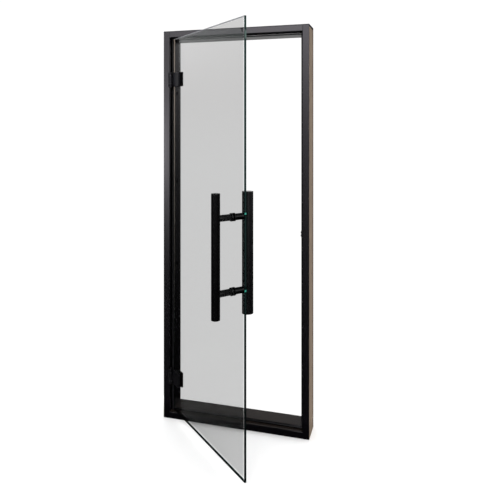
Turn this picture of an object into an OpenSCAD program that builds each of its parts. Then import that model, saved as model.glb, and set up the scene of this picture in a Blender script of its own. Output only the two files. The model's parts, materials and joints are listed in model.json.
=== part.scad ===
// Single-leaf frameless glass door in a rebated wooden frame.
// Millimetres. X runs right, Y runs from the opening side to the stop side, Z runs up.
// The origin is the middle of the sill's underside. The leaf is drawn swung open.

/* [Frame] */
// Overall width of the frame
frame_w = 720; // [590:10:890]
// Overall height of the frame
frame_h = 1890; // [1790:10:2090]
// Depth of the frame through the wall
frame_d = 115; // [95:1:140]
// Thickness of every frame member, stop included
member_t = 42; // [38:1:50]
// How far the stop stands out of the rebate
stop_h = 11; // [10:1:14]
// Depth of the rebate from the front face
rebate_d = 30; // [28:1:34]

/* [Seal] */
// Width of the seal's bulb
seal_w = 8; // [6:0.5:9]
// How far the bulb stands out of the stop
seal_h = 6.5; // [5:0.1:6.5]

/* [Leaf] */
// Thickness of the glass
glass_t = 8; // [6:1:8]
// Gap between the glass edge and the rebate at the two sides
side_gap = 3.5; // [3:0.5:6]
// Gap between the glass edge and the rebate at top and bottom
end_gap = 6.5; // [5:0.5:8]
// Angle at which the leaf stands open
open_angle = 41; // [0:1:78]

/* [Hinges] */
// Height of the upper hinge's centre above the sill's underside
upper_hinge_z = 1652; // [1500:1:1700]
// Height of the lower hinge's centre above the sill's underside
lower_hinge_z = 207; // [150:1:400]
// Height of the hinge plates
hinge_h = 68; // [64:1:80]
// Length of the clamp blocks along the glass
clamp_l = 60; // [50:1:70]
// Chamfer on the lower clamp's outer corners
clamp_chamfer = 8; // [4:1:12]

/* [Handle] */
// Height of the handle's middle above the sill's underside
handle_z = 906; // [850:1:1000]
// Distance of the handle from the free edge of the glass
handle_in = 96; // [70:1:140]
// Length of the two bars
bar_l = 500; // [400:10:700]
// Distance between the two posts of a bar
post_pitch = 300; // [250:10:340]
// Diameter of the bar on the opening side
outer_bar_dia = 36; // [28:1:38]
// Diameter of the bar on the stop side
inner_bar_dia = 45; // [38:1:48]
// Distance of the outer bar's axis from the middle of the glass
outer_reach = 79; // [70:1:90]
// Distance of the inner bar's axis from the middle of the glass
inner_reach = 72; // [70:1:90]

/* [Hidden] */

$fn = 64;
cut = 1;            // extra length of a cutting tool past a face
play = 0.05;        // radial clearance of fitted pieces

// frame sections
x_out = frame_w / 2;
x_stop = x_out - member_t;
x_rebate = x_stop + stop_h;
y_front = -frame_d / 2;
y_back = frame_d / 2;
y_riser = y_front + rebate_d;
z_stop_low = member_t;
z_rebate_low = member_t - stop_h;
z_stop_high = frame_h - member_t;
z_rebate_high = z_stop_high + stop_h;
arris = 1.5;        // small chamfer on the visible long edges

// dowels in the four corners of the frame
dowel_r = 5;
dowel_l = 60;
dowel_ys = [-8, 34];

// wall fixing holes through the jambs
fixing_r = 4;
fixing_head_r = 9;
fixing_head_d = 8;
fixing_y = 13;
fixing_z = frame_h / 2;
fixing_offsets = [207, 645];

// seal
kerf_w = 3;
kerf_d = 6.5;
barb_w = kerf_w - 2 * play;
barb_d = 6;
seal_mid = stop_h / 2;
seal_margin = 2;

// rubber buffer that the leaf closes against, in the strike side's riser
buffer_z = 928;
buffer_half = 15;
buffer_base_t = 3;
buffer_nub_r = 4;
buffer_nubs = [-7, 7];
buffer_nose = seal_h - buffer_nub_r;    // where the round nose begins, before the riser
buffer_proud = 1.5;  // past the stop's inner face
buffer_plug_half = 12;
buffer_plug_d = 5;

// hinge
pin_x = -x_rebate + 8;
pin_y = y_front - 4.5;
pin_r = 3.5;
knuckle_r = 7.5;
knuckle_h = 14;
plate_t = 3;
flange_w = 6;
bush_r = 5;
bush_flange = 0.8;
leaf_knuckle_h = hinge_h - 2 * knuckle_h - 2 * bush_flange - 0.4;
hinge_screw_r = 2;
hinge_screw_head_r = 4;
hinge_screw_l = 28;
hinge_screw_y = y_front + 16;
hinge_screw_z = 24;

// leaf section, measured inwards from the pin (m) and along the glass (a)
m_clamp_front = 8.3;
clamp_t = 10;
gasket_t = 1;
m_glass = m_clamp_front + clamp_t + gasket_t;
m_glass_back = m_glass + glass_t;
m_glass_mid = m_glass + glass_t / 2;
inner_clamp_t = 8;
a_clamp = 10;
a_clamp_end = a_clamp + clamp_l;
a_glass = -x_rebate + side_gap - pin_x;
glass_w = 2 * (x_rebate - side_gap);
glass_z = z_rebate_low + end_gap;
glass_h = z_rebate_high - end_gap - glass_z;
a_free = a_glass + glass_w;
a_screw = a_clamp + 0.55 * clamp_l;
screw_dz = 19;
screw_r = 3;
glass_hole_r = 7;
sleeve_r = 6.9;

// handle
a_handle = a_free - handle_in;
m_outer_bar = m_glass_mid - outer_reach;
m_inner_bar = m_glass_mid + inner_reach;
post_r = 13.5;
collar_r = 17;
collar_t = 5;
washer_t = 1;
stud_r = 4;
stud_reach = 24;
grub_r = 2.5;
grub_reach = 16;     // from the post's foot
tube_t = 2.5;
cap_t = 3;
cap_plug = 12;

black = [0.09, 0.09, 0.1];
steel = [0.62, 0.62, 0.64];
rubber = [0.05, 0.05, 0.05];
oak = [0.52, 0.46, 0.39];

// ---------- helpers ----------

// a box given by its low and high corner
module box(low, high) {
    translate(low) cube(high - low);
}

// a cylinder along Z between two heights
module rod(r, z0, z1) {
    translate([0, 0, z0]) cylinder(r = r, h = z1 - z0);
}

// turns +Z into +Y, for what runs through the glass
module through(a, m, z) {
    translate([a, m, z]) rotate([-90, 0, 0]) children();
}

// places what is drawn in leaf coordinates: a along the glass, m inwards from the pin
module on_leaf() {
    translate([pin_x, pin_y, 0]) rotate([0, 0, -open_angle]) children();
}

module at_each_post() {
    for (side = [-1, 1]) translate([0, 0, handle_z + side * post_pitch / 2]) children();
}

module at_clamp_screws(hinge_z) {
    for (side = [-1, 1]) through(a_screw, 0, hinge_z + side * screw_dz) children();
}

// ---------- frame ----------

// section of a side member, for the side at negative X
module jamb_section() {
    polygon([
        [-x_out, y_front], [-x_rebate - arris, y_front], [-x_rebate, y_front + arris],
        [-x_rebate, y_riser], [-x_stop - arris, y_riser], [-x_stop, y_riser + arris],
        [-x_stop, y_back - arris], [-x_stop - arris, y_back], [-x_out, y_back]
    ]);
}

// section of the sill: X is its height above the underside, Y the depth
module rail_section() {
    polygon([
        [0, y_front], [member_t - stop_h - arris, y_front],
        [member_t - stop_h, y_front + arris], [member_t - stop_h, y_riser],
        [member_t - arris, y_riser], [member_t, y_riser + arris],
        [member_t, y_back - arris], [member_t - arris, y_back], [0, y_back]
    ]);
}

// the length of a rail: its front zone reaches to the rebate, the rest to the stops
module rail_length() {
    box([-x_rebate, y_front - cut, -cut], [x_rebate, y_riser, member_t + cut]);
    box([-x_stop, y_riser - cut, -cut], [x_stop, y_back + cut, member_t + cut]);
}

module corner_drillings(z) {
    for (y = dowel_ys) translate([-x_stop, y, z]) rotate([0, 90, 0])
        cylinder(r = dowel_r, h = dowel_l + 1, center = true);
}

module seal_kerf(length) {
    box([-kerf_w / 2, 0, 0], [kerf_w / 2, kerf_d, length]);
}

module fixing_hole(z) {
    translate([-x_out - cut, fixing_y, z]) rotate([0, 90, 0])
        cylinder(r = fixing_r, h = member_t + 2 * cut);
    translate([-x_stop - fixing_head_d, fixing_y, z]) rotate([0, 90, 0])
        cylinder(r = fixing_head_r, h = fixing_head_d + cut);
}

module jamb_blank() {
    difference() {
        linear_extrude(frame_h) jamb_section();
        corner_drillings(member_t / 2);
        corner_drillings(frame_h - member_t / 2);
        translate([-x_rebate + seal_mid, y_riser, z_rebate_low])
            seal_kerf(z_rebate_high - z_rebate_low);
        for (side = [-1, 1], offset = fixing_offsets) fixing_hole(fixing_z + side * offset);
    }
}

module hinge_screw_holes(hinge_z) {
    for (side = [-1, 1])
        translate([-x_rebate, hinge_screw_y, hinge_z + side * hinge_screw_z]) rotate([0, -90, 0])
            rod(hinge_screw_r, -cut, hinge_screw_l + cut);
}

module hinge_jamb() {
    color(black) difference() {
        jamb_blank();
        hinge_screw_holes(upper_hinge_z);
        hinge_screw_holes(lower_hinge_z);
    }
}

module strike_jamb() {
    color(black) mirror([1, 0, 0]) difference() {
        jamb_blank();
        buffer_plug(play);
    }
}

module rail_blank() {
    difference() {
        intersection() {
            translate([x_out, 0, 0]) rotate([0, -90, 0]) linear_extrude(frame_w) rail_section();
            rail_length();
        }
        for (side = [0, 1]) mirror([side, 0, 0]) corner_drillings(member_t / 2);
        translate([-x_stop - cut, y_riser, z_rebate_low + seal_mid]) rotate([0, 90, 0])
            seal_kerf(2 * x_stop + 2 * cut);
    }
}

module sill() {
    color(black) rail_blank();
}

module head_rail() {
    color(black) translate([0, 0, frame_h]) mirror([0, 0, 1]) rail_blank();
}

module corner_dowels() {
    color(oak) for (side = [0, 1], z = [member_t / 2, frame_h - member_t / 2], y = dowel_ys)
        mirror([side, 0, 0]) translate([-x_stop, y, z]) rotate([0, 90, 0])
            cylinder(r = dowel_r - play, h = dowel_l, center = true);
}

// ---------- seals ----------

// half-round bulb with a barb that sits in the kerf; the riser is at Y = 0
module seal_bulb_section() {
    corner = seal_w / 2;
    translate([0, corner - seal_h]) intersection() {
        circle(r = corner);
        translate([-corner, -corner]) square([seal_w, corner]);
    }
    translate([-corner, corner - seal_h]) square([seal_w, seal_h - corner]);
}

// the barb stops short of the bulb's ends by the margin
module seal_length(length) {
    color(rubber) {
        linear_extrude(length) seal_bulb_section();
        box([-barb_w / 2, -cut, seal_margin], [barb_w / 2, barb_d, length - seal_margin]);
    }
}

seal_side_low = z_rebate_low + seal_mid - seal_w / 2;
seal_side_high = z_rebate_high - seal_mid + seal_w / 2;
seal_rail_x = x_rebate - seal_mid - seal_w / 2;

module seal_hinge_side() {
    translate([-x_rebate + seal_mid, y_riser, seal_side_low])
        seal_length(seal_side_high - seal_side_low);
}

// two lengths, above and below the buffer
module seal_strike_side() {
    below = buffer_z - buffer_half - seal_side_low - play;
    above = seal_side_high - buffer_z - buffer_half - play;
    translate([x_rebate - seal_mid, y_riser, 0]) {
        translate([0, 0, seal_side_low]) seal_length(below);
        translate([0, 0, seal_side_high - above]) seal_length(above);
    }
}

module seal_sill() {
    translate([-seal_rail_x, y_riser, z_rebate_low + seal_mid]) rotate([0, 90, 0])
        seal_length(2 * seal_rail_x);
}

module seal_head() {
    translate([-seal_rail_x, y_riser, z_rebate_high - seal_mid]) rotate([0, 90, 0])
        seal_length(2 * seal_rail_x);
}

// the part of the buffer that is let into the timber, drawn on the side at negative X
module buffer_plug(margin) {
    reach = buffer_plug_half + margin;
    box([-x_rebate + 2.5 - margin, y_riser - cut, buffer_z - reach],
        [-x_stop - arris - 1 + margin, y_riser + buffer_plug_d + margin, buffer_z + reach]);
}

// one moulding: a base with two rounded noses, as high as the seal's bulb
module stop_buffer() {
    x_low = -x_rebate + arris;
    x_high = -x_stop + buffer_proud;
    color(rubber) mirror([1, 0, 0]) {
        box([x_low, y_riser - buffer_base_t, buffer_z - buffer_half],
            [-x_stop, y_riser, buffer_z + buffer_half]);
        for (nub = buffer_nubs) translate([x_low, y_riser - buffer_nose, buffer_z + nub]) {
            intersection() {
                rotate([0, 90, 0]) cylinder(r = buffer_nub_r, h = x_high - x_low);
                box([0, -buffer_nub_r, -buffer_nub_r], [x_high - x_low, 0, buffer_nub_r]);
            }
            box([0, -cut, -buffer_nub_r], [x_high - x_low, buffer_nose, buffer_nub_r]);
        }
        buffer_plug(0);
    }
}

// ---------- hinges, frame side ----------

// front flange, rebate side plate and the two outer knuckles, bent from one plate
module hinge_plate(hinge_z) {
    half = hinge_h / 2;
    relief = half - knuckle_h;
    side_end = y_riser - seal_h - 1.5;
    color(black) translate([0, 0, hinge_z]) difference() {
        union() {
            box([-x_rebate - flange_w, y_front - plate_t, -half], [-x_rebate, y_front, half]);
            box([-x_rebate, y_front - plate_t, -half], [-x_rebate + plate_t, side_end, half]);
            for (side = [0, 1]) mirror([0, 0, side]) {
                translate([pin_x, pin_y, 0]) rod(knuckle_r, relief, half);
                box([-x_rebate, y_front - plate_t, relief], [pin_x, y_front, half]);
            }
        }
        translate([pin_x, pin_y, 0]) rod(pin_r + play, -half - cut, half + cut);
        box([-x_rebate, y_front - plate_t - cut, -relief],
            [-x_rebate + plate_t + cut, y_front + 6, relief]);
        for (side = [-1, 1])
            translate([-x_rebate, hinge_screw_y, side * hinge_screw_z]) rotate([0, 90, 0]) {
                rod(hinge_screw_r, -cut, plate_t + cut);
                rod(hinge_screw_head_r, 1, plate_t + cut);
            }
    }
}

module upper_hinge_plate() {
    hinge_plate(upper_hinge_z);
}

module lower_hinge_plate() {
    hinge_plate(lower_hinge_z);
}

// a straight pin with a button at its top and bottom
module hinge_pin(hinge_z) {
    half = hinge_h / 2;
    button_r = 5.5;
    color(black) translate([pin_x, pin_y, hinge_z]) {
        rod(pin_r, -half, half);
        rod(button_r, half, half + 2);
        rod(button_r, -half - 2, -half);
    }
}

module upper_hinge_pin() {
    hinge_pin(upper_hinge_z);
}

module lower_hinge_pin() {
    hinge_pin(lower_hinge_z);
}

module hinge_plate_screws() {
    color(black) for (z = [upper_hinge_z, lower_hinge_z], side = [-1, 1])
        translate([-x_rebate, hinge_screw_y, z + side * hinge_screw_z]) rotate([0, -90, 0]) {
            rod(hinge_screw_r, -1, hinge_screw_l);
            rod(hinge_screw_head_r, -plate_t + 0.2, -1);
        }
}

// ---------- leaf ----------

module glass_panel() {
    color([0.55, 0.62, 0.62, 0.4]) on_leaf() difference() {
        box([a_glass, m_glass, glass_z], [a_free, m_glass_back, glass_z + glass_h]);
        for (z = [upper_hinge_z, lower_hinge_z]) at_clamp_screws(z)
            rod(glass_hole_r, m_glass - cut, m_glass_back + cut);
        at_each_post() through(a_handle, 0, 0)
            rod(glass_hole_r, m_glass - cut, m_glass_back + cut);
    }
}

// knuckle, arm and clamp block in one piece
module clamp_outer(hinge_z, chamfer) {
    half = hinge_h / 2;
    arm_half = half - 3;
    arm_back = m_clamp_front + 8;
    on_leaf() difference() {
        color(black) union() {
            clamp_block(hinge_z, half, chamfer);
            box([-3, m_clamp_front, hinge_z - arm_half], [a_clamp, arm_back, hinge_z + arm_half]);
            translate([0, 0, hinge_z]) rod(knuckle_r, -leaf_knuckle_h / 2, leaf_knuckle_h / 2);
            box([-3, 0, hinge_z - leaf_knuckle_h / 2], [5, arm_back, hinge_z + leaf_knuckle_h / 2]);
        }
        translate([0, 0, hinge_z]) rod(bush_r, -half, half);
        at_clamp_screws(hinge_z) rod(screw_r + play, m_clamp_front + 2, m_glass);
    }
}

// the block that grips the glass, its outer corners cut back by the chamfer
module clamp_block(hinge_z, half, chamfer) {
    translate([0, m_clamp_front + clamp_t, hinge_z]) rotate([90, 0, 0])
        linear_extrude(clamp_t) polygon([
            [a_clamp, -half], [a_clamp_end - chamfer, -half], [a_clamp_end, chamfer - half],
            [a_clamp_end, half - chamfer], [a_clamp_end - chamfer, half], [a_clamp, half]
        ]);
}

module upper_clamp_outer() {
    clamp_outer(upper_hinge_z, 1);
}

module lower_clamp_outer() {
    clamp_outer(lower_hinge_z, clamp_chamfer);
}

module clamp_inner(hinge_z) {
    half = hinge_h / 2;
    m0 = m_glass_back + gasket_t;
    m1 = m0 + inner_clamp_t;
    color(black) on_leaf() difference() {
        box([a_clamp, m0, hinge_z - half], [a_clamp_end, m1, hinge_z + half]);
        at_clamp_screws(hinge_z) {
            rod(screw_r + play, m0 - cut, m1 + cut);
            rod(screw_r * 2 + play, m1 - 4, m1 + cut);
        }
    }
}

module upper_clamp_inner() {
    clamp_inner(upper_hinge_z);
}

module lower_clamp_inner() {
    clamp_inner(lower_hinge_z);
}

// thin pads on both faces of the glass
module clamp_gaskets(hinge_z) {
    half = hinge_h / 2 - 1;
    color(rubber) on_leaf() difference() {
        for (m = [m_glass - gasket_t, m_glass_back])
            box([a_clamp + 1, m, hinge_z - half], [a_clamp_end - clamp_chamfer, m + gasket_t,
                hinge_z + half]);
        at_clamp_screws(hinge_z) rod(screw_r + play, 0, m_glass_back + 10);
    }
}

module upper_clamp_gaskets() {
    clamp_gaskets(upper_hinge_z);
}

module lower_clamp_gaskets() {
    clamp_gaskets(lower_hinge_z);
}

// flanged liner of the leaf's knuckle, running on the pin
module hinge_bush(hinge_z) {
    half = leaf_knuckle_h / 2;
    color(black) on_leaf() translate([0, 0, hinge_z]) difference() {
        union() {
            rod(bush_r, -half, half);
            rod(knuckle_r, half, half + bush_flange);
            rod(knuckle_r, -half - bush_flange, -half);
        }
        rod(pin_r + play, -half - cut - bush_flange, half + cut + bush_flange);
    }
}

module upper_hinge_bush() {
    hinge_bush(upper_hinge_z);
}

module lower_hinge_bush() {
    hinge_bush(lower_hinge_z);
}

// socket-head screws, from the inner clamp into the outer clamp
module clamp_screws() {
    m1 = m_glass_back + gasket_t + inner_clamp_t;
    color(black) on_leaf() for (z = [upper_hinge_z, lower_hinge_z]) at_clamp_screws(z)
        difference() {
            union() {
                rod(screw_r, m_clamp_front + 3, m1 - 4);
                rod(screw_r * 2, m1 - 4, m1 - 0.5);
            }
            translate([0, 0, m1 - 3]) cylinder(r = screw_r - 0.3, h = 3, $fn = 6);
        }
}

// tubes that line the holes in the glass, from one face to the other
module glass_sleeve(inner_r) {
    difference() {
        rod(sleeve_r, m_glass, m_glass_back);
        rod(inner_r, m_glass - cut, m_glass_back + cut);
    }
}

module clamp_sleeves() {
    color("white") on_leaf() for (z = [upper_hinge_z, lower_hinge_z]) at_clamp_screws(z)
        glass_sleeve(screw_r + play);
}

// ---------- handle ----------

// a tube open at both ends
module bar_tube(m, r) {
    color(black) on_leaf() translate([a_handle, m, handle_z]) difference() {
        rod(r, -bar_l / 2 + cap_t, bar_l / 2 - cap_t);
        rod(r - tube_t, -bar_l / 2, bar_l / 2);
    }
}

// flat caps with a plug that fills the tube's mouth
module bar_caps(m, r) {
    color(black) on_leaf() translate([a_handle, m, handle_z])
        for (side = [0, 1]) mirror([0, 0, side]) {
            rod(r, bar_l / 2 - cap_t, bar_l / 2);
            rod(r - tube_t - play, bar_l / 2 - cap_t - cap_plug, bar_l / 2 - cap_t);
        }
}

// posts from the washer on the glass to the bar, coped to sit on the bar
module posts(m_foot, m_bar, bar_r) {
    toward = m_bar > m_foot ? 1 : -1;
    color(black) on_leaf() at_each_post() difference() {
        through(a_handle, 0, 0) rod(post_r, min(m_foot, m_bar), max(m_foot, m_bar));
        translate([a_handle, m_bar, 0]) cylinder(r = bar_r + play, h = 4 * post_r, center = true);
        through(a_handle, 0, 0)
            rod(stud_r + play, min(m_foot - toward, m_foot + toward * stud_reach),
                max(m_foot - toward, m_foot + toward * stud_reach));
        translate([a_handle, m_foot + toward * grub_reach, -post_r - cut])
            cylinder(r = grub_r, h = post_r + cut);
    }
}

module collars(m0) {
    color(black) on_leaf() at_each_post() through(a_handle, 0, 0) difference() {
        rod(collar_r, m0, m0 + collar_t);
        rod(post_r + play, m0 - cut, m0 + collar_t + cut);
    }
}

module outer_bar() {
    bar_tube(m_outer_bar, outer_bar_dia / 2);
}

module outer_bar_caps() {
    bar_caps(m_outer_bar, outer_bar_dia / 2);
}

module outer_posts() {
    posts(m_glass - washer_t, m_outer_bar, outer_bar_dia / 2);
}

module outer_collars() {
    collars(m_glass - washer_t - collar_t);
}

module inner_bar() {
    bar_tube(m_inner_bar, inner_bar_dia / 2);
}

module inner_bar_caps() {
    bar_caps(m_inner_bar, inner_bar_dia / 2);
}

module inner_posts() {
    posts(m_glass_back + washer_t, m_inner_bar, inner_bar_dia / 2);
}

module inner_collars() {
    collars(m_glass_back + washer_t);
}

module handle_washers() {
    color(rubber) on_leaf() at_each_post() through(a_handle, 0, 0)
        for (m = [m_glass - washer_t, m_glass_back]) difference() {
            rod(collar_r, m, m + washer_t);
            rod(stud_r + play, m - cut, m + washer_t + cut);
        }
}

module handle_sleeves() {
    color("white") on_leaf() at_each_post() through(a_handle, 0, 0)
        glass_sleeve(stud_r + play);
}

// one stud through the glass joins each pair of posts
module handle_studs() {
    reach = washer_t + stud_reach - 1;
    color(steel) on_leaf() at_each_post() through(a_handle, 0, 0)
        rod(stud_r, m_glass - reach, m_glass_back + reach);
}

// set screws that lock the posts on the studs, from below
module grub_screws() {
    color(black) on_leaf() at_each_post()
        for (m = [m_glass - washer_t - grub_reach, m_glass_back + washer_t + grub_reach])
            translate([a_handle, m, 0]) difference() {
                rod(grub_r - play, -post_r + 1, -stud_r);
                translate([0, 0, -post_r]) cylinder(r = 1.4, h = 3.5, $fn = 6);
            }
}

hinge_jamb();
strike_jamb();
head_rail();
sill();
corner_dowels();
seal_hinge_side();
seal_strike_side();
seal_head();
seal_sill();
stop_buffer();
upper_hinge_plate();
lower_hinge_plate();
upper_hinge_pin();
lower_hinge_pin();
hinge_plate_screws();
glass_panel();
upper_clamp_outer();
lower_clamp_outer();
upper_clamp_inner();
lower_clamp_inner();
upper_clamp_gaskets();
lower_clamp_gaskets();
upper_hinge_bush();
lower_hinge_bush();
clamp_screws();
clamp_sleeves();
outer_bar();
outer_bar_caps();
outer_posts();
outer_collars();
inner_bar();
inner_bar_caps();
inner_posts();
inner_collars();
handle_washers();
handle_sleeves();
handle_studs();
grub_screws();
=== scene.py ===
"""Finishes, small details, studio and camera of a glass door in its rebated timber frame."""

import json
import logging
import math
from dataclasses import dataclass
from enum import Enum
from functools import reduce
from typing import Iterable, Sequence

import bmesh
import bpy
from mathutils import Matrix, Vector


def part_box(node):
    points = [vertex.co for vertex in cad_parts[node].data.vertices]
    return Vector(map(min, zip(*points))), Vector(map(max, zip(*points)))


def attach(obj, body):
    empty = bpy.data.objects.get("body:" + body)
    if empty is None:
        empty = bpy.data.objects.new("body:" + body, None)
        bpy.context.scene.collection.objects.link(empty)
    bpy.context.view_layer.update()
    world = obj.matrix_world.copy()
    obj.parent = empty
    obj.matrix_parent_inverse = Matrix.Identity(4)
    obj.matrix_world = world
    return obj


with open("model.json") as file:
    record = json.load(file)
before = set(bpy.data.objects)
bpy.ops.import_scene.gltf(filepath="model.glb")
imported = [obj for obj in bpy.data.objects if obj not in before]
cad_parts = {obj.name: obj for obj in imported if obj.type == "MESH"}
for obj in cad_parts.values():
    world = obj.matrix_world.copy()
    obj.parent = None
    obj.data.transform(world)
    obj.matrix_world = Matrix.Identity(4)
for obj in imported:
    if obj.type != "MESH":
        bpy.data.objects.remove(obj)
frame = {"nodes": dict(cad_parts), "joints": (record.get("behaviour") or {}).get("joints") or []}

LOG = logging.getLogger("glass_door")
MM = 0.001

Colour = tuple[float, float, float]
Point = tuple[float, float, float]
Scale = tuple[float, float, float]
Pair = tuple[float, float]
Socket = bpy.types.NodeSocket


class Grain(Enum):
    """The way the timber's grain runs, as the axis along it."""

    UPRIGHT = 2
    ACROSS = 0


class Place(Enum):
    """Which of the two hinges a sub-assembly is."""

    UPPER = "upper"
    LOWER = "lower"


class Body(Enum):
    """The rigid bodies of the door."""

    FRAME = "frame"
    LEAF = "leaf"


def scaled(colour: Colour, share: float) -> Colour:
    """Gives a colour with each part multiplied by the same share."""
    return tuple(share * part for part in colour)


# ---------------------------------------------------------------- node graphs


class Graph:
    """A short way to write a node tree: every method adds one node and returns its result."""

    def __init__(self, tree: bpy.types.NodeTree) -> None:
        """Starts from an empty tree.

        Args:
            tree: the node tree of a material or of the world.
        """
        self.tree = tree
        tree.nodes.clear()

    def add(self, kind: str, **settings: object) -> bpy.types.Node:
        """Adds a node.

        Args:
            kind: the node's type name without its common prefix.
            settings: properties of the node.

        Returns:
            The new node.
        """
        node = self.tree.nodes.new("ShaderNode" + kind)
        for name, value in settings.items():
            setattr(node, name, value)
        return node

    def feed(self, socket: Socket, value: object) -> None:
        """Links a socket to another one, or sets its own value.

        Args:
            socket: the input to feed.
            value: an output socket, a number, or a sequence of numbers.
        """
        if isinstance(value, bpy.types.NodeSocket):
            self.tree.links.new(value, socket)
        elif isinstance(value, (int, float)):
            socket.default_value = value
        else:
            socket.default_value = tuple(value)

    def math(self, operation: str, first: object, second: object = 0.0, third: object = 0.0) -> Socket:
        """Adds a sum, product or other plain calculation.

        Args:
            operation: the calculation's name.
            first: the first operand.
            second: the second operand, if it takes one.
            third: the third operand, if it takes one.

        Returns:
            The result.
        """
        node = self.add("Math", operation=operation)
        for socket, value in zip(node.inputs, (first, second, third)):
            self.feed(socket, value)
        return node.outputs[0]

    def step(self, value: object, low: float, high: float, out_low: float = 0.0,
             out_high: float = 1.0) -> Socket:
        """Adds a smooth step from one level to another.

        Args:
            value: what is mapped.
            low: where the step begins.
            high: where it ends.
            out_low: the result before the step.
            out_high: the result after it.

        Returns:
            The stepped value.
        """
        node = self.add("MapRange", interpolation_type="SMOOTHSTEP")
        for socket, item in zip(node.inputs, (value, low, high, out_low, out_high)):
            self.feed(socket, item)
        return node.outputs[0]

    def place(self) -> Socket:
        """Gives the point on the object, in metres in the door's own frame."""
        return self.add("TexCoord").outputs["Object"]

    def facing(self) -> Socket:
        """Gives the surface's own normal in the door's frame."""
        return self.add("TexCoord").outputs["Normal"]

    def stretched(self, vector: Socket, scale: Sequence[float]) -> Socket:
        """Scales a point along each axis.

        Args:
            vector: the point.
            scale: one factor per axis.

        Returns:
            The scaled point.
        """
        node = self.add("VectorMath", operation="MULTIPLY")
        self.feed(node.inputs[0], vector)
        self.feed(node.inputs[1], scale)
        return node.outputs[0]

    def dot(self, vector: Socket, other: Sequence[float]) -> Socket:
        """Gives how far a vector reaches along a direction.

        Args:
            vector: the vector.
            other: the direction.

        Returns:
            The dot product.
        """
        node = self.add("VectorMath", operation="DOT_PRODUCT")
        self.feed(node.inputs[0], vector)
        self.feed(node.inputs[1], other)
        return node.outputs["Value"]

    def axes(self, vector: Socket) -> tuple[Socket, Socket, Socket]:
        """Splits a vector into its three parts.

        Args:
            vector: the vector.

        Returns:
            Its parts along X, Y and Z.
        """
        node = self.add("SeparateXYZ")
        self.feed(node.inputs[0], vector)
        return node.outputs[0], node.outputs[1], node.outputs[2]

    def noise(self, vector: Socket, scale: float, detail: float = 3.0, roughness: float = 0.55) -> Socket:
        """Adds smooth noise.

        Args:
            vector: where the noise is read.
            scale: how fine it is.
            detail: how many finer layers it has.
            roughness: how strong the finer layers are.

        Returns:
            A value between 0 and 1.
        """
        node = self.add("TexNoise")
        self.feed(node.inputs["Vector"], vector)
        for name, value in (("Scale", scale), ("Detail", detail), ("Roughness", roughness)):
            self.feed(node.inputs[name], value)
        return node.outputs["Fac"]

    def ramp(self, value: Socket, stops: Iterable[tuple[float, Colour]]) -> Socket:
        """Turns a value into a colour.

        Args:
            value: what is looked up.
            stops: positions from 0 to 1 with their colours.

        Returns:
            The colour.
        """
        node = self.add("ValToRGB")
        elements = node.color_ramp.elements
        for index, (position, colour) in enumerate(stops):
            element = elements[index] if index < len(elements) else elements.new(position)
            element.position = position
            element.color = (*colour, 1.0)
        self.feed(node.inputs[0], value)
        return node.outputs["Color"]

    def blend(self, factor: object, first: object, second: object) -> Socket:
        """Mixes two colours.

        Args:
            factor: how much of the second colour shows.
            first: a colour or a socket.
            second: a colour or a socket.

        Returns:
            The mixed colour.
        """
        node = self.add("Mix", data_type="RGBA")
        self.feed(node.inputs["Factor"], factor)
        for name, value in (("A", first), ("B", second)):
            socket = next(s for s in node.inputs if s.name == name and s.type == "RGBA")
            self.feed(socket, value if isinstance(value, bpy.types.NodeSocket) else (*value, 1.0))
        return next(s for s in node.outputs if s.type == "RGBA")

    def bump(self, height: object, strength: float, distance: float) -> Socket:
        """Turns a height into a bumped normal.

        Args:
            height: the height, between 0 and 1.
            strength: how much of the bump shows.
            distance: the height in metres that 1 stands for.

        Returns:
            The normal.
        """
        node = self.add("Bump")
        for name, value in (("Strength", strength), ("Distance", distance), ("Height", height)):
            self.feed(node.inputs[name], value)
        return node.outputs["Normal"]

    def surface(self, **inputs: object) -> None:
        """Closes a material with one principled shader.

        Args:
            inputs: the shader's inputs, with underscores for spaces.
        """
        shader = self.add("BsdfPrincipled")
        for name, value in inputs.items():
            socket = shader.inputs[name.replace("_", " ")]
            if socket.type == "RGBA" and not isinstance(value, bpy.types.NodeSocket):
                value = (*value, 1.0)
            self.feed(socket, value)
        output = self.add("OutputMaterial")
        self.tree.links.new(shader.outputs[0], output.inputs["Surface"])


def new_material(name: str) -> tuple[bpy.types.Material, Graph]:
    """Makes an empty node material.

    Args:
        name: the material's name.

    Returns:
        The material and the graph to fill.
    """
    material = bpy.data.materials.new(name)
    material.use_nodes = True
    return material, Graph(material.node_tree)


# ---------------------------------------------------------------- finishes


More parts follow.
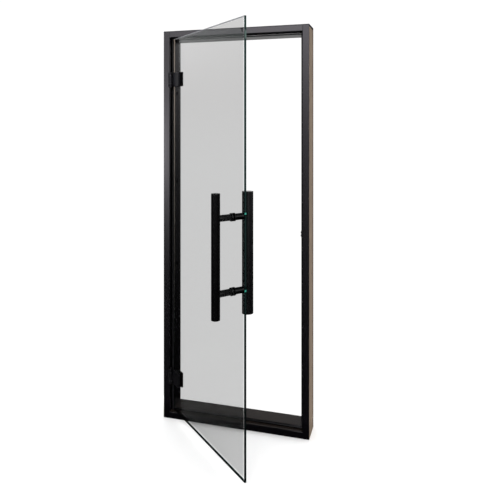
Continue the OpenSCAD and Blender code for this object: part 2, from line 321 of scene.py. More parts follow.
@dataclass(frozen=True)
class PaintedTimber:
    """Satin black paint over timber, with the sides that face the wall left bare."""

    grain: Grain
    half_width: float
    height: float
    half_depth: float
    gloss: float
    paint: Colour = (0.0006, 0.0005, 0.0008)
    paint_worn: Colour = (0.0012, 0.0010, 0.0016)
    dust: Colour = (0.0125, 0.0095, 0.0080)
    heart: Colour = (0.178, 0.136, 0.101)
    sap: Colour = (0.290, 0.226, 0.170)
    sheen: Colour = (0.97, 0.93, 1.0)
    satin: Pair = (0.20, 0.27)
    matt_side: float = 0.72
    matt_arris: float = 0.5
    wiped_kick: float = 0.4
    skin: Pair = (0.5 * MM, 0.2 * MM)
    top_arris: Pair = (7.0 * MM, 4.0 * MM)
    over_sill: Pair = (60.0 * MM, 80.0 * MM)
    # painted shade on the bare timber: how high it reaches and how strong it is at the foot
    foot_shade_height: float = 1.2
    foot_shade_share: float = 0.9
    lap: float = 1.6 * MM
    back_lap: float = 17.0 * MM
    end_lap: float = 12.0 * MM
    grain_depth: float = 0.35 * MM

    def material(self) -> bpy.types.Material:
        """Builds the material.

        Returns:
            The finish.
        """
        material, graph = new_material(f"painted_timber_{self.grain.name.lower()}")
        point = graph.place()
        fibre = self.fibre(graph, point)
        bare = self.bare(graph, point)
        low = graph.step(graph.axes(point)[2], *self.over_sill, 1.0, 0.0)
        tread = graph.math("MULTIPLY", low, graph.step(graph.axes(graph.facing())[2], 0.8, 0.95))
        kick = graph.math("SUBTRACT", low, tread)
        clean = graph.blend(graph.noise(point, 9.0), self.paint, self.paint_worn)
        paint = graph.blend(tread, clean, self.dust)
        graph.surface(
            Base_Color=graph.blend(bare, paint, self.wood(graph, point, fibre)),
            Roughness=graph.math("MULTIPLY", self.roughness(graph, point, fibre, bare),
                                 graph.step(kick, 0.0, 1.0, 1.0, self.wiped_kick)),
            Specular_IOR_Level=self.gloss,
            Specular_Tint=self.sheen,
            Normal=graph.bump(fibre, 0.16, self.grain_depth),
        )
        return material

    def wood(self, graph: Graph, point: Socket, fibre: Socket) -> Socket:
        """Colours the bare timber, with painted shade that darkens it towards its foot.

        Args:
            graph: the material's graph.
            point: the point on the timber.
            fibre: the fibre pattern.

        Returns:
            The colour.
        """
        middle = tuple((a + b) / 2 for a, b in zip(self.heart, self.sap))
        clean = graph.ramp(fibre, ((0.28, self.heart), (0.5, middle), (0.72, self.sap)))
        # painted shade: the bare timber is blended towards the dark heart colour near the foot
        painted_foot_shade = graph.step(graph.axes(point)[2], 0.0, self.foot_shade_height, self.foot_shade_share, 0.0)
        return graph.blend(painted_foot_shade, clean, self.heart)

    def roughness(self, graph: Graph, point: Socket, fibre: Socket, bare: Socket) -> Socket:
        """Gives satin paint, with the sides by the wall and the arris along the top rubbed matt.

        Args:
            graph: the material's graph.
            point: the point on the timber.
            fibre: the fibre pattern.
            bare: 1 on bare timber and 0 on paint.

        Returns:
            The roughness.
        """
        across, _, up = graph.axes(point)
        matt = graph.math("MAXIMUM", self.on_side(graph, across), bare)
        near, nearer = self.top_arris
        arris = graph.step(up, self.height - near, self.height - nearer, 0.0, self.matt_arris)
        satin = graph.step(fibre, 0.2, 0.8, *self.satin)
        return graph.math("MAXIMUM", graph.math("MULTIPLY_ADD", matt, self.matt_side, satin), arris)

    def fibre(self, graph: Graph, point: Socket) -> Socket:
        """Draws fibres along the grain.

        Args:
            graph: the material's graph.
            point: the point on the timber.

        Returns:
            The fibre pattern, from 0 to 1.
        """
        along = self.grain.value
        fine = [4.0 if axis == along else 190.0 for axis in range(3)]
        broad = [1.1 if axis == along else 34.0 for axis in range(3)]
        pores = graph.noise(graph.stretched(point, fine), 1.0, 5.0, 0.6)
        rings = graph.noise(graph.stretched(point, broad), 1.0, 3.0)
        return graph.math("MULTIPLY_ADD", rings, 0.55, graph.math("MULTIPLY", pores, 0.45))

    def on_side(self, graph: Graph, across: Socket) -> Socket:
        """Gives 1 on the frame's two outer sides and 0 elsewhere."""
        deep, thin = self.skin
        return graph.step(graph.math("ABSOLUTE", across), self.half_width - deep, self.half_width - thin)

    def bare(self, graph: Graph, point: Socket) -> Socket:
        """Finds the unpainted faces: the outer sides, top and foot, short of the edges that paint laps over.

        Args:
            graph: the material's graph.
            point: the point on the timber.

        Returns:
            1 on bare timber and 0 on paint.
        """
        across, depth, up = graph.axes(point)
        deep, thin = self.skin
        ends = graph.math("MAXIMUM", graph.step(up, self.height - deep, self.height - thin),
                          graph.step(up, thin, deep, 1.0, 0.0))
        ragged = graph.math("MULTIPLY", graph.noise(point, 60.0), self.lap)

        def inset(far: object, near: object) -> Socket:
            """Gives how far in from an edge a point lies, less the ragged edge of the paint."""
            return graph.math("SUBTRACT", graph.math("SUBTRACT", far, near), ragged)

        clear = graph.math(
            "MULTIPLY", graph.step(inset(depth, -self.half_depth), 0.0, self.lap),
            graph.step(inset(self.half_depth, depth), self.back_lap - self.lap, self.back_lap))
        below = graph.step(inset(self.height, up), self.end_lap - self.lap, self.end_lap)
        sides = graph.math("MULTIPLY", self.on_side(graph, across), below)
        return graph.math("MULTIPLY", graph.math("MAXIMUM", sides, ends), clear)


@dataclass(frozen=True)
class BareBeech:
    """Planed beech with short flecks."""

    light: Colour = (0.42, 0.27, 0.15)
    dark: Colour = (0.24, 0.14, 0.07)
    fleck_scale: Scale = (60.0, 420.0, 420.0)

    def material(self) -> bpy.types.Material:
        """Builds the material.

        Returns:
            The finish.
        """
        material, graph = new_material("bare_beech")
        fleck = graph.noise(graph.stretched(graph.place(), self.fleck_scale), 1.0, 5.0)
        graph.surface(
            Base_Color=graph.blend(graph.step(fleck, 0.4, 0.65), self.light, self.dark),
            Roughness=graph.step(fleck, 0.3, 0.7, 0.5, 0.65),
            Normal=graph.bump(fleck, 0.2, 0.2 * MM),
        )
        return material


@dataclass(frozen=True)
class PowderCoat:
    """Fine powder coat on metal, with the slight orange peel that it cures to, and painted shade that makes
    it darker low down.
    """

    name: str
    colour: Colour = (0.0062, 0.0060, 0.0074)
    rough: float = 0.42
    gloss: float = 0.04
    peel: float = 0.05
    # painted shade: the share of the colour at the foot, and the heights (rise) over which it lightens
    low_shade_share: float = 0.25
    light_share: float = 1.5
    rise: Pair = (0.4, 1.4)

    def material(self) -> bpy.types.Material:
        """Builds the material.

        Returns:
            The finish.
        """
        material, graph = new_material(self.name)
        point = graph.place()
        grit = graph.noise(point, 1500.0, 2.0)
        cloud = graph.noise(point, 25.0, 3.0)
        tone = graph.blend(cloud, self.colour, scaled(self.colour, self.light_share))
        graph.surface(
            # painted shade: the coat is drawn darker below the rise
            Base_Color=graph.blend(graph.step(graph.axes(point)[2], *self.rise),
                                   scaled(self.colour, self.low_shade_share), tone),
            Roughness=graph.step(cloud, 0.25, 0.75, self.rough - 0.03, self.rough + 0.04),
            Specular_IOR_Level=self.gloss,
            Normal=graph.bump(grit, self.peel, 0.05 * MM),
        )
        return material


@dataclass(frozen=True)
class SealRubber:
    """Matt extruded rubber with faint drag lines and a little bloom."""

    name: str
    gloss: float
    colour: Colour = (0.002, 0.002, 0.0024)
    bloom: Colour = (0.004, 0.004, 0.0046)

    def material(self) -> bpy.types.Material:
        """Builds the material.

        Returns:
            The finish.
        """
        material, graph = new_material(self.name)
        point = graph.place()
        drag = graph.noise(point, 700.0, 2.0)
        cloud = graph.noise(point, 40.0, 4.0)
        graph.surface(
            Base_Color=graph.blend(graph.step(cloud, 0.45, 0.8), self.colour, self.bloom),
            Roughness=graph.step(cloud, 0.3, 0.7, 0.42, 0.55),
            Specular_IOR_Level=self.gloss,
            Normal=graph.bump(drag, 0.12, 0.05 * MM),
        )
        return material


@dataclass(frozen=True)
class TurnedSteel:
    """Plain steel with the fine marks of turning round its length."""

    light: Colour = (0.56, 0.56, 0.58)
    dark: Colour = (0.36, 0.36, 0.38)
    mark_scale: Scale = (120.0, 120.0, 2600.0)

    def material(self) -> bpy.types.Material:
        """Builds the material.

        Returns:
            The finish.
        """
        material, graph = new_material("turned_steel")
        marks = graph.noise(graph.stretched(graph.place(), self.mark_scale), 1.0, 3.0)
        graph.surface(
            Base_Color=graph.blend(marks, self.dark, self.light),
            Metallic=1.0,
            Roughness=graph.step(marks, 0.3, 0.7, 0.22, 0.36),
            Normal=graph.bump(marks, 0.1, 0.04 * MM),
        )
        return material


@dataclass(frozen=True)
class MouldedNylon:
    """Moulded plastic, off-white where nothing else is said."""

    name: str
    colour: Colour = (0.55, 0.54, 0.50)
    shade_share: float = 0.8

    def material(self) -> bpy.types.Material:
        """Builds the material.

        Returns:
            The finish.
        """
        material, graph = new_material(self.name)
        cloud = graph.noise(graph.place(), 300.0, 3.0)
        graph.surface(
            Base_Color=graph.blend(cloud, scaled(self.colour, self.shade_share), self.colour),
            Roughness=graph.step(cloud, 0.3, 0.7, 0.4, 0.5),
            Normal=graph.bump(cloud, 0.1, 0.05 * MM),
        )
        return material


@dataclass(frozen=True)
class ToughenedGlass:
    """Lightly tinted glass with polished edges in their own dark green, deepened by painted shade low down;
    painted shade darkens the rim of the faces, and painted highlights lie along the top, the hinge side and
    the free edge.
    """

    plane: "LeafPlane"
    posts: tuple[float, ...]
    tint: Colour = (0.574, 0.576, 0.576)
    top_tint: Colour = (0.555, 0.550, 0.550)
    # painted glint: the faces are drawn clear in a band beside the dark rim
    clear: Colour = (1.0, 1.0, 1.0)
    sheen: Colour = (0.55, 1.0, 0.95)
    # the polished edges' dark green, higher up and low down, with painted shade making the lower one nearly
    # black
    edge: Colour = (0.006, 0.017, 0.0165)
    low_edge_shade: Colour = (0.0007, 0.0016, 0.0016)
    # painted highlight on the free edge a little below the top
    crown: Colour = (0.11, 0.16, 0.145)
    # painted highlight on the hinge-side edge, seen through the pane
    lit_edge: Colour = (0.95, 0.84, 0.74)
    # painted highlight along the top edge of the pane
    top_edge_highlight: Colour = (0.40, 0.40, 0.43)
    # painted highlight: teal spots on the free edge by the bored holes
    spark: Colour = (0.06, 0.42, 0.32)
    index: float = 1.10
    ground: float = 0.18
    solidity: float = 0.88
    free_rim: float = 4.5 * MM
    foot_rim: float = 8.0 * MM
    lit_rim: float = 8.0 * MM
    top_rim: float = 3.5 * MM
    glint: float = 7.0 * MM
    # width of the painted glint strip beside the free edge's rim
    bevel: float = 4.0 * MM
    crown_start: Pair = (52.0 * MM, 62.0 * MM)
    crown_end: Pair = (85.0 * MM, 95.0 * MM)
    spark_radius: Pair = (3.0 * MM, 4.5 * MM)

    def material(self) -> bpy.types.Material:
        """Builds the material.

        Returns:
            The finish.
        """
        material, graph = new_material("toughened_glass")
        point = graph.place()
        near = self.distances(graph, point)
        height = graph.axes(point)[2]
        across = graph.dot(graph.facing(), self.plane.inward())
        edge = graph.step(graph.math("ABSOLUTE", across), 0.35, 0.6, 1.0, 0.0)
        behind = graph.step(across, -0.6, -0.35)
        # painted highlight: the hinge-side edge, seen from inside the pane, is drawn light
        lit = graph.math("MULTIPLY", self.band(graph, near["hinges"], self.lit_rim), behind)
        # painted highlight: a band along the top edge, drawn light and partly opaque
        top_highlight = graph.math("MULTIPLY", self.band(graph, near["top"], self.top_rim),
                           graph.math("SUBTRACT", 1.0, behind))
        face = graph.blend(top_highlight, self.face(graph, near, height), self.top_edge_highlight)
        # the painted highlight on the hinge side fades to painted shade towards the foot
        rising = graph.math("POWER", graph.step(height, 0.0, 2.0), 2.0)
        hinge_edge_light = graph.blend(rising, self.low_edge_shade, self.lit_edge)
        # the painted edges, the hinge-side light and the top highlight are drawn partly opaque
        solid = graph.math("MAXIMUM", graph.math("MAXIMUM", edge, lit), graph.math("MULTIPLY", top_highlight, 0.6))
        # painted highlight: the glint strip is drawn partly opaque over the sill and the head
        solid = graph.math("MAXIMUM", solid, self.painted_glint_strip(graph, near, height))
        graph.surface(
            Base_Color=graph.blend(lit, graph.blend(edge, face, self.polished(graph, near, height)), hinge_edge_light),
            Roughness=graph.math("MULTIPLY", edge, self.ground),
            Transmission_Weight=graph.math("MULTIPLY_ADD", solid, -self.solidity, 1.0),
            IOR=self.index,
            Specular_Tint=self.sheen,
            Normal=graph.bump(graph.noise(point, 3.0, 1.0), 0.02, 0.3 * MM),
        )
        return material

    def distances(self, graph: Graph, point: Socket) -> dict[str, Socket]:
        """Measures how far a point of the pane is from each of its edges.

        Args:
            graph: the material's graph.
            point: the point on the pane.

        Returns:
            The distances in metres, by the edge's name.
        """
        low, high = self.plane.span("glass_panel")
        along = self.plane.along()
        reach = graph.math("SUBTRACT", graph.dot(point, along), self.plane.pin.dot(along))
        height = graph.axes(point)[2]
        return {
            "free": graph.math("SUBTRACT", high.x, reach),
            "hinges": graph.math("SUBTRACT", reach, low.x),
            "foot": graph.math("SUBTRACT", height, low.z),
            "top": graph.math("SUBTRACT", high.z, height),
        }

    def band(self, graph: Graph, distance: Socket, width: float) -> Socket:
        """Gives 1 closer to an edge than a width, and 0 beyond.

        Args:
            graph: the material's graph.
            distance: the distance from the edge.
            width: the band's width.

        Returns:
            The band.
        """
        return graph.step(distance, 0.85 * width, width, 1.0, 0.0)

    def rim(self, graph: Graph, near: dict[str, Socket], margin: float = 0.0) -> Socket:
        """Gives 1 on the rim along the free edge and the foot, where the faces carry painted shade, and 0 on
        the rest of the pane.

        Args:
            graph: the material's graph.
            near: the distances from the edges.
            margin: how much wider than the plain rim the result is.

        Returns:
            The rim.
        """
        return graph.math("MAXIMUM", self.band(graph, near["free"], self.free_rim + margin),
                          self.band(graph, near["foot"], self.foot_rim + margin))

    def dark(self, graph: Graph, height: Socket) -> Socket:
        """Gives the polished edges' own dark green, with painted shade that makes it nearly black low down;
        the rim of the faces is drawn in it too.
        """
        return graph.blend(graph.step(height, 0.2, 1.5), self.low_edge_shade, self.edge)

    def face(self, graph: Graph, near: dict[str, Socket], height: Socket) -> Socket:
        """Colours the two faces: tinted, with a painted glint drawn clear beside the rim, and painted shade
        drawn dark on the rim.

        Args:
            graph: the material's graph.
            near: the distances from the edges.
            height: the height of the point.

        Returns:
            The colour.
        """
        body = graph.blend(graph.step(height, 1.2, 1.7), self.tint, self.top_tint)
        # painted highlight: the glint band beside the rim
        beside = graph.blend(self.rim(graph, near, self.glint), body, self.clear)
        # painted shade: the rim on the faces is drawn dark
        return graph.blend(self.rim(graph, near), beside, self.dark(graph, height))

    def polished(self, graph: Graph, near: dict[str, Socket], height: Socket) -> Socket:
        """Colours the polished edges: their dark tone with painted shade, the painted highlight of the crown
        near the top, and the painted sparks.

        Args:
            graph: the material's graph.
            near: the distances from the edges.
            height: the height of the point.

        Returns:
            The colour.
        """
        # painted highlight: a light band on the edge near the top
        crown = graph.math("MULTIPLY", graph.step(near["top"], *self.crown_start),
                           graph.step(near["top"], *self.crown_end, 1.0, 0.0))
        plain = graph.blend(crown, self.dark(graph, height), self.crown)
        sparks = graph.math("MULTIPLY", self.sparks(graph, height), self.rim(graph, near))
        return graph.blend(sparks, plain, self.spark)

    def sparks(self, graph: Graph, height: Socket) -> Socket:
        """Finds the spots of painted highlight where the bored holes light the edge up, a little above the
        handle's posts.

        Args:
            graph: the material's graph.
            height: the height of the point.

        Returns:
            1 in a spot and 0 elsewhere.
        """
        spots = [graph.step(graph.math("ABSOLUTE", graph.math("SUBTRACT", height, post)),
                            *self.spark_radius, 1.0, 0.0) for post in self.posts]
        return graph.math("MAXIMUM", *spots)

    def painted_glint_strip(self, graph: Graph, near: dict[str, Socket], height: Socket) -> Socket:
        """Gives how solid the painted glint strip beside the free edge's rim is drawn, level with the sill
        and the head, where it shows as a light line.

        Args:
            graph: the material's graph.
            near: the distances from the edges.
            height: the height of the point.

        Returns:
            The solidity, from 0 to 1.
        """
        strip = graph.math("SUBTRACT", self.band(graph, near["free"], self.free_rim + self.bevel),
                           self.band(graph, near["free"], self.free_rim))
        # the painted glint shows only level with the sill and the head
        ends = graph.math("ADD", graph.step(height, 0.40, 0.45, 0.2, 0.0),
                          graph.step(height, 1.6, 1.7, 0.0, 0.16))
        return graph.math("MULTIPLY", strip, ends)


@dataclass(frozen=True)
class EtchedMark:
    """The frosted face of an etched mark on glass."""

    name: str
    colour: Colour
    shade_share: float = 0.6
    gloss: float = 0.02

    def material(self) -> bpy.types.Material:
        """Builds the material.

        Returns:
            The finish.
        """
        material, graph = new_material(self.name)
        frost = graph.noise(graph.place(), 4000.0, 2.0)
        graph.surface(
            Base_Color=graph.blend(frost, scaled(self.colour, self.shade_share), self.colour),
            Roughness=graph.step(frost, 0.3, 0.7, 0.6, 0.8),
            Specular_IOR_Level=self.gloss,
        )
        return material


# ---------------------------------------------------------------- dressing


def dress(nodes: Iterable[str], material: bpy.types.Material, edge: float = 0.0, segments: int = 2) -> None:
    """Gives construction nodes their finish and eased edges.

    Args:
        nodes: the nodes' names.
        material: the finish.
        edge: the radius of the eased edges, in metres, or 0 for none.
        segments: how many strips round an edge.
    """
    for name in nodes:
        node = frame["nodes"][name]
        for slot in node.material_slots:
            slot.material = material
        node.data.polygons.foreach_set("use_smooth", [True] * len(node.data.polygons))
        if edge > 0.0:
            ease_edges(node, edge, segments)
        LOG.info("dressed %s with %s", name, material.name)


def ease_edges(piece: bpy.types.Object, radius: float, segments: int) -> None:
    """Rounds the sharp edges of a piece and evens its shading.

    Args:
        piece: the piece.
        radius: the radius of the edges, in metres.
        segments: how many strips round an edge.
    """
    weld = piece.modifiers.new("weld", "WELD")
    weld.merge_threshold = 0.002 * MM
    flat = piece.modifiers.new("flat_faces", "DECIMATE")
    flat.decimate_type = "DISSOLVE"
    flat.angle_limit = math.radians(0.2)
    bevel = piece.modifiers.new("eased_edges", "BEVEL")
    bevel.width = radius
    bevel.segments = segments
    bevel.limit_method = "ANGLE"
    bevel.angle_limit = math.radians(40.0)
    bevel.miter_outer = "MITER_ARC"
    even = piece.modifiers.new("even_shading", "WEIGHTED_NORMAL")
    even.keep_sharp = False
    even.weight = 80


def join_piece(name: str, mesh: bmesh.types.BMesh, material: bpy.types.Material, body: Body) -> None:
    """Turns a mesh under construction into a piece that rides on a body.

    Args:
        name: the piece's name.
        mesh: the mesh, which is used up.
        material: its finish.
        body: the body it moves with.
    """
    bmesh.ops.recalc_face_normals(mesh, faces=mesh.faces)
    data = bpy.data.meshes.new(name)
    mesh.to_mesh(data)
    mesh.free()
    data.materials.append(material)
    piece = bpy.data.objects.new(name, data)
    bpy.context.scene.collection.objects.link(piece)
    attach(piece, body.value)
    LOG.info("built %s", name)


# ---------------------------------------------------------------- sub-assemblies


@dataclass(frozen=True)
class LeafPlane:
    """Where the leaf stands at rest, and how its own directions lie in the door's frame."""

    pin: Vector
    opening: float

    @classmethod
    def from_joint(cls) -> "LeafPlane":
        """Reads the plane from the leaf's joint: its lower limit is the closed leaf."""
        joint = next(item for item in frame["joints"] if item["name"] == "leaf_swing")
        return cls(Vector(joint["pos_m"]), math.radians(-joint["range_deg"][0]))

    def along(self) -> Vector:
        """Gives the direction from the hinges to the free edge."""
        return Vector((math.cos(self.opening), -math.sin(self.opening), 0.0))

    def inward(self) -> Vector:
        """Gives the direction through the glass towards the stop side."""
        return Vector((math.sin(self.opening), math.cos(self.opening), 0.0))

    def matrix(self, along: float, inward: float, height: float) -> Matrix:
        """Gives the placing of a piece whose own Z points out of the opening side.

        Args:
            along: distance from the pin towards the free edge, in metres.
            inward: distance from the pin towards the stop side, in metres.
            height: height above the sill's underside, in metres.

        Returns:
            The matrix that places the piece.
        """
        point = self.pin + self.along() * along + self.inward() * inward
        point.z = height
        turn = Matrix((self.along(), Vector((0.0, 0.0, 1.0)), -self.inward())).transposed()
        return Matrix.Translation(point) @ turn.to_4x4()

    def span(self, node: str) -> tuple[Vector, Vector]:
        """Measures a leaf node in the leaf's own directions.

        Args:
            node: the node's name.

        Returns:
            The lowest and highest (along, inward, height), in metres from the pin.
        """
        points = [vertex.co for vertex in frame["nodes"][node].data.vertices]
        reaches = [point - self.pin for point in points]
        rows = [(reach.dot(self.along()), reach.dot(self.inward()), point.z)
                for reach, point in zip(reaches, points)]
        return Vector(map(min, zip(*rows))), Vector(map(max, zip(*rows)))


@dataclass
class TimberFrame:
    """The four rebated members, their dowels, the seals in the rebate and the rubber buffer."""

    edge: float = 0.9 * MM
    uprights: tuple[str, ...] = ("hinge_jamb", "strike_jamb")
    rails: tuple[str, ...] = ("head_rail", "sill")
    upright_gloss: float = 0.11
    rail_gloss: float = 0.128
    dusty: tuple[str, ...] = ("seal_hinge_side", "seal_strike_side", "seal_sill", "stop_buffer")
    wiped: tuple[str, ...] = ("seal_head",)

    def build(self) -> None:
        """Dresses the members, the dowels, the seals and the buffer."""
        half_width, half_depth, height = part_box("strike_jamb")[1]
        for names, grain, gloss in ((self.uprights, Grain.UPRIGHT, self.upright_gloss),
                                    (self.rails, Grain.ACROSS, self.rail_gloss)):
            finish = PaintedTimber(grain, half_width, height, half_depth, gloss)
            dress(names, finish.material(), self.edge)
        dress(("corner_dowels",), BareBeech().material(), 0.5 * MM)
        dress(self.dusty, SealRubber("dusty_rubber", gloss=0.06).material(), 0.3 * MM)
        dress(self.wiped, SealRubber("wiped_rubber", gloss=0.9).material(), 0.3 * MM)


@dataclass
class ClampHinge:
    """One hinge: its frame plate, pin, bush, clamps and gaskets."""

    place: Place
    coat: bpy.types.Material
    dark_steel: bpy.types.Material
    dark_nylon: bpy.types.Material
    rubber: bpy.types.Material
    edge: float = 0.6 * MM

    def build(self) -> None:
        """Dresses the hinge's nodes."""
        name = self.place.value
        dress((f"{name}_hinge_plate",), self.coat, self.edge)
        dress((f"{name}_clamp_outer", f"{name}_clamp_inner"), self.coat, self.edge, 3)
        dress((f"{name}_hinge_pin",), self.dark_steel, 0.5 * MM)
        dress((f"{name}_hinge_bush",), self.dark_nylon, 0.2 * MM)
        dress((f"{name}_clamp_gaskets",), self.rubber, 0.2 * MM)


@dataclass
class GlassPane:
    """The pane and the small etched mark near its upper free corner."""

    plane: LeafPlane
    arris: float = 0.8 * MM
    spark_rise: float = 26.0 * MM
    mark_in: float = 18.0 * MM
    mark_down: float = 54.0 * MM
    mark_radius: float = 7.6 * MM
    mark_line: float = 4.2 * MM
    mark_dot: float = 2.2 * MM
    mark_lift: float = 0.03 * MM
    ring_colour: Colour = (0.012, 0.012, 0.014)
    dot_colour: Colour = (0.24, 0.25, 0.26)

    def build(self) -> None:
        """Dresses the pane and etches the mark."""
        lowest, highest = (corner[2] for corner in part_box("outer_posts"))
        radius = self.post_radius()
        # heights of the painted highlights on the free edge
        sparks = (lowest + radius + self.spark_rise, highest - radius + self.spark_rise)
        dress(("glass_panel",), ToughenedGlass(self.plane, sparks).material(), self.arris)
        self.etch("etched_ring", self.ring_colour, self.mark_radius, self.mark_radius - self.mark_line)
        self.etch("etched_dot", self.dot_colour, self.mark_dot, 0.0)

    def post_radius(self) -> float:
        """Measures the radius of the handle's posts from the lowest post.

        Returns:
            The radius in metres.
        """
        heights = sorted({round(vertex.co.z, 6) for vertex in frame["nodes"]["outer_posts"].data.vertices})
        middle = (heights[0] + heights[-1]) / 2
        return (max(z for z in heights if z < middle) - heights[0]) / 2

    def etch(self, name: str, colour: Colour, outer: float, inner: float) -> None:
        """Builds one part of the mark: a thin ring, or the dot in its middle.

        Args:
            name: the piece's name.
            colour: its colour.
            outer: the outer radius.
            inner: the inner radius, or 0 for a dot.
        """
        low, high = self.plane.span("glass_panel")
        mesh = bmesh.new()
        self.add_ring(mesh, outer, inner)
        mesh.transform(self.plane.matrix(high.x - self.mark_in, low.y - self.mark_lift,
                                         high.z - self.mark_down))
        join_piece(name, mesh, EtchedMark(name, colour).material(), Body.LEAF)

    def add_ring(self, mesh: bmesh.types.BMesh, outer: float, inner: float, sides: int = 48) -> None:
        """Adds a thin closed ring or disc, flat on its own XY plane.

        Args:
            mesh: the mesh to add to.
            outer: the outer radius.
            inner: the inner radius, or 0 for a disc.
            sides: how many sides the circles have.
        """
        turns = [math.tau * side / sides for side in range(sides)]
        rings = [[mesh.verts.new((radius * math.cos(turn), radius * math.sin(turn), level))
                  for turn in turns]
                 for radius in (outer, inner) if radius > 0.0
                 for level in (0.0, self.mark_lift)]
        if inner > 0.0:
            walls = ((0, 1), (1, 3), (3, 2), (2, 0))
        else:
            walls = ((0, 1),)
            mesh.faces.new(rings[0])
            mesh.faces.new(rings[1])
        for first, second in walls:
            for side in range(sides):
                after = (side + 1) % sides
                mesh.faces.new((rings[first][side], rings[first][after],
                                rings[second][after], rings[second][side]))


@dataclass
class BarHandle:
    """The two bars with their caps, posts and collars, and the parts that join them through the glass."""

    outer_coat: bpy.types.Material
    inner_coat: bpy.types.Material
    steel: bpy.types.Material
    nylon: bpy.types.Material
    rubber: bpy.types.Material
    edge: float = 0.8 * MM

    def build(self) -> None:
        """Dresses the handle's nodes."""
        for side, coat in (("outer", self.outer_coat), ("inner", self.inner_coat)):
            dress((f"{side}_bar", f"{side}_bar_caps"), coat, 0.5 * MM)
            dress((f"{side}_posts", f"{side}_collars"), self.inner_coat, self.edge, 3)
        dress(("handle_washers",), self.rubber, 0.2 * MM)
        dress(("handle_sleeves", "clamp_sleeves"), self.nylon, 0.2 * MM)
        dress(("handle_studs",), self.steel, 0.5 * MM)


@dataclass
class Fasteners:
    """The screws that hold the hinges and the handle."""

    dark_steel: bpy.types.Material

    def build(self) -> None:
        """Dresses the screws."""
        dress(("hinge_plate_screws", "grub_screws"), self.dark_steel, 0.15 * MM)
        dress(("clamp_screws",), self.dark_steel, 0.2 * MM)


# ---------------------------------------------------------------- studio


@dataclass(frozen=True)
class Softbox:
    """A soft rectangular light in front of the door and above it."""

    position: Point = (-0.5, -3.3, 2.7)
    target: Point = (0.0, 0.0, 1.2)
    width: float = 2.4
    height: float = 1.2
    radiance: float = 1.5

    def build(self) -> None:
        """Hangs the light and turns it to its target."""
        data = bpy.data.lights.new("front_high", "AREA")
        data.shape = "RECTANGLE"
        data.size = self.width
        data.size_y = self.height
        data.energy = self.radiance * math.pi * self.width * self.height
        light = bpy.data.objects.new(data.name, data)
        light.location = self.position
        aim = Vector(self.target) - Vector(self.position)
        light.rotation_euler = aim.to_track_quat("-Z", "Y").to_euler()
        light.visible_glossy = False
        bpy.context.scene.collection.objects.link(light)
        LOG.info("lit %s", light.name)


@dataclass(frozen=True)
class Patch:
    """A soft round bright patch of the room that gloss mirrors."""

    centre: Point
    focus: float
    strength: float

    def level(self, graph: Graph, way: Socket) -> Socket:
        """Gives the patch's strength in a direction.

        Args:
            graph: the world's graph.
            way: the direction looked in.

        Returns:
            The strength.
        """
        near = graph.math("MAXIMUM", graph.dot(way, Vector(self.centre).normalized()), 0.0)
        return graph.math("MULTIPLY", graph.math("POWER", near, self.focus), self.strength)


@dataclass(frozen=True)
class MirroredRoom:
    """The room that gloss mirrors: brighter with height, and brightest in front.

    Its walls begin and end at parts of a direction, from -1 to 1, to the side, in depth and in height.
    """

    rise: float = 7.2
    rise_top: float = 0.22
    front: float = 4.0
    away: float = 0.04
    front_left: float = 0.36
    left: float = 0.5
    left_rise: float = 2.2
    right: float = 1.4
    back_right: float = 0.45
    back_low: float = 0.75
    back_high: float = 0.62
    window: Patch = Patch((-0.453, -0.891, -0.034), 420.0, 56.0)
    skylight: Patch = Patch((0.72, 0.50, 0.48), 20.0, 6.0)

    def level(self, graph: Graph, way: Socket) -> Socket:
        """Gives the room's strength in a direction.

        Args:
            graph: the world's graph.
            way: the direction looked in.

        Returns:
            The strength.
        """
        side, depth, height = graph.axes(way)
        rise = graph.math("MULTIPLY", graph.math("MINIMUM", height, self.rise_top), self.rise)
        walls = (self.front_wall(graph, side, depth), self.left_wall(graph, side, height),
                 graph.step(side, 0.75, 0.92, 0.0, self.right), self.right_corner(graph, side, depth))
        rising = graph.math("MULTIPLY", graph.math("EXPONENT", rise), self.total(graph, walls))
        return self.total(graph, (rising, self.back_wall(graph, side, depth, height),
                                  self.window.level(graph, way), self.skylight.level(graph, way)))

    def total(self, graph: Graph, levels: Iterable[Socket]) -> Socket:
        """Adds levels up."""
        return reduce(lambda one, other: graph.math("ADD", one, other), levels)

    def front_wall(self, graph: Graph, side: Socket, depth: Socket) -> Socket:
        """Gives the bright wall in front, dimmer to its left, and what is left of it elsewhere."""
        return graph.math("MULTIPLY", graph.step(depth, -0.85, -0.4, self.front, self.away),
                          graph.step(side, -0.5, -0.25, self.front_left, 1.0))

    def left_wall(self, graph: Graph, side: Socket, height: Socket) -> Socket:
        """Gives the wall on the left, brighter above the horizon."""
        return graph.math("MULTIPLY", graph.step(side, -0.93, -0.75, self.left, 0.0),
                          graph.step(height, 0.05, 0.15, 1.0, self.left_rise))

    def right_corner(self, graph: Graph, side: Socket, depth: Socket) -> Socket:
        """Gives the pale corner at the back on the right."""
        return graph.math("MULTIPLY", graph.step(side, 0.2, 0.33, 0.0, self.back_right),
                          graph.step(depth, 0.6, 0.8))

    def back_wall(self, graph: Graph, side: Socket, depth: Socket, height: Socket) -> Socket:
        """Gives the pale wall at the back on the left.

        Args:
            graph: the world's graph.
            side: the part of the direction to the side.
            depth: the part of the direction in depth.
            height: the part of the direction in height.

        Returns:
            The wall's strength.
        """
        tone = graph.math("MULTIPLY", graph.step(depth, 0.8, 0.9),
                          graph.step(height, 0.0, 0.35, self.back_low, self.back_high))
        extent = graph.math("MULTIPLY", graph.step(side, -0.1, 0.15, 1.0, 0.0),
                            graph.step(height, -0.35, -0.2))
        return graph.math("MULTIPLY", tone, extent)


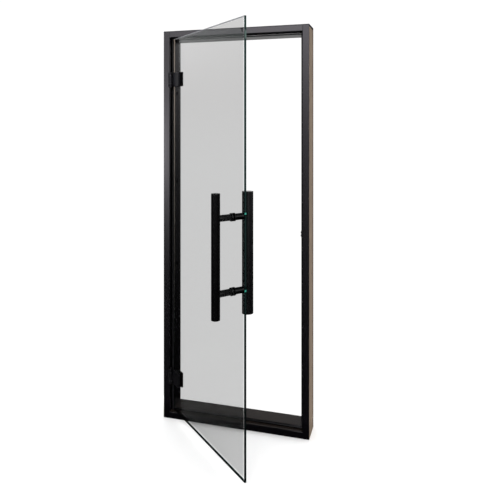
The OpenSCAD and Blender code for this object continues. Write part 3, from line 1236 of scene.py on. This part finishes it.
@dataclass
class Studio:
    """The floor, the surrounding light, the softbox and the camera."""

    floor_low: Pair = (-1.2, -0.8)
    floor_high: Pair = (1.2, 0.14)
    floor_colour: Colour = (0.91, 0.91, 0.91)
    floor_shade: float = 0.98
    pale: float = 1.04
    dome: float = 1.2
    dome_foot: float = 0.2
    zenith: float = 0.7
    lens: float = 38.149
    eye: Point = (0.7762, -2.4377, 1.4066)
    heading: float = 0.2700
    shift: Pair = (-0.0153, -0.2397)

    def build(self) -> None:
        """Sets up everything that isn't part of the door."""
        self.lay_floor()
        self.surround()
        Softbox().build()
        self.point_camera()
        bpy.context.scene.view_settings.view_transform = "Standard"

    def lay_floor(self) -> None:
        """Lays a plain pale floor under the sill, which gloss doesn't mirror."""
        (left, near), (right, far) = self.floor_low, self.floor_high
        mesh = bmesh.new()
        corners = ((left, near), (right, near), (right, far), (left, far))
        mesh.faces.new([mesh.verts.new((x, y, 0.0)) for x, y in corners])
        data = bpy.data.meshes.new("floor")
        mesh.to_mesh(data)
        mesh.free()
        floor = bpy.data.objects.new("floor", data)
        floor.visible_glossy = False
        bpy.context.scene.collection.objects.link(floor)
        material, graph = new_material("floor")
        mottle = graph.noise(graph.place(), 0.8, 2.0)
        graph.surface(
            Base_Color=graph.blend(mottle, self.floor_colour, scaled(self.floor_colour, self.floor_shade)),
            Roughness=0.9,
            Specular_IOR_Level=0.1,
        )
        data.materials.append(material)

    def surround(self) -> None:
        """Surrounds the door with a pale backdrop, an even dome and the room that gloss mirrors."""
        world = bpy.data.worlds.new("studio")
        world.use_nodes = True
        world.cycles.sampling_method = "NONE"
        bpy.context.scene.world = world
        graph = Graph(world.node_tree)
        way = graph.add("TexCoord").outputs["Generated"]
        path = graph.add("LightPath")
        seen = graph.math("MAXIMUM", path.outputs["Is Camera Ray"], path.outputs["Is Transmission Ray"])
        lit = self.either(graph, path.outputs["Is Glossy Ray"], self.dome_light(graph, way),
                          MirroredRoom().level(graph, way))
        background = graph.add("Background")
        graph.feed(background.inputs["Strength"], self.either(graph, seen, lit, self.pale))
        graph.feed(background.inputs["Color"], (1.0, 1.0, 1.0, 1.0))
        output = graph.add("OutputWorld")
        graph.feed(output.inputs["Surface"], background.outputs[0])

    def either(self, graph: Graph, switch: Socket, off: object, on: object) -> Socket:
        """Picks one of two strengths.

        Args:
            graph: the world's graph.
            switch: 0 for the first and 1 for the second.
            off: the first strength.
            on: the second strength.

        Returns:
            The picked strength.
        """
        node = graph.add("Mix", data_type="FLOAT")
        for index, value in ((0, switch), (2, off), (3, on)):
            graph.feed(node.inputs[index], value)
        return node.outputs[0]

    def dome_light(self, graph: Graph, way: Socket) -> Socket:
        """Gives the even light from above.

        Args:
            graph: the world's graph.
            way: the direction looked in.

        Returns:
            The dome's strength.
        """
        height = graph.axes(way)[2]
        return graph.math("ADD", graph.step(height, -0.15, 0.1, self.dome_foot, self.dome),
                          graph.step(height, 0.5, 0.9, 0.0, self.zenith))

    def point_camera(self) -> None:
        """Places the camera, level, with its view shifted."""
        data = bpy.data.cameras.new("camera")
        data.lens = self.lens
        data.shift_x, data.shift_y = self.shift
        camera = bpy.data.objects.new("camera", data)
        camera.location = self.eye
        camera.rotation_euler = (math.pi / 2, 0.0, self.heading)
        bpy.context.scene.collection.objects.link(camera)
        bpy.context.scene.camera = camera


def main() -> None:
    """Builds the door's looks in order."""
    logging.basicConfig(level=logging.INFO, format="%(message)s")
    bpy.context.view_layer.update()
    coat = PowderCoat("powder_coat").material()
    outer_coat = PowderCoat("outer_bar_coat", (0.0022, 0.0021, 0.0023), rough=0.28, gloss=0.018, peel=0.02)
    inner_coat = PowderCoat("inner_bar_coat", (0.0032, 0.0031, 0.0038), rough=0.24, gloss=0.085, peel=0.02)
    dark_steel = PowderCoat("blackened_steel", rough=0.4).material()
    steel = TurnedSteel().material()
    nylon = MouldedNylon("clear_nylon").material()
    dark_nylon = MouldedNylon("black_nylon", (0.010, 0.010, 0.011)).material()
    rubber = SealRubber("plain_rubber", gloss=0.15).material()
    TimberFrame().build()
    for place in Place:
        ClampHinge(place, coat, dark_steel, dark_nylon, rubber).build()
    GlassPane(LeafPlane.from_joint()).build()
    BarHandle(outer_coat.material(), inner_coat.material(), steel, nylon, rubber).build()
    Fasteners(dark_steel).build()
    Studio().build()


if __name__ == "__main__":
    main()
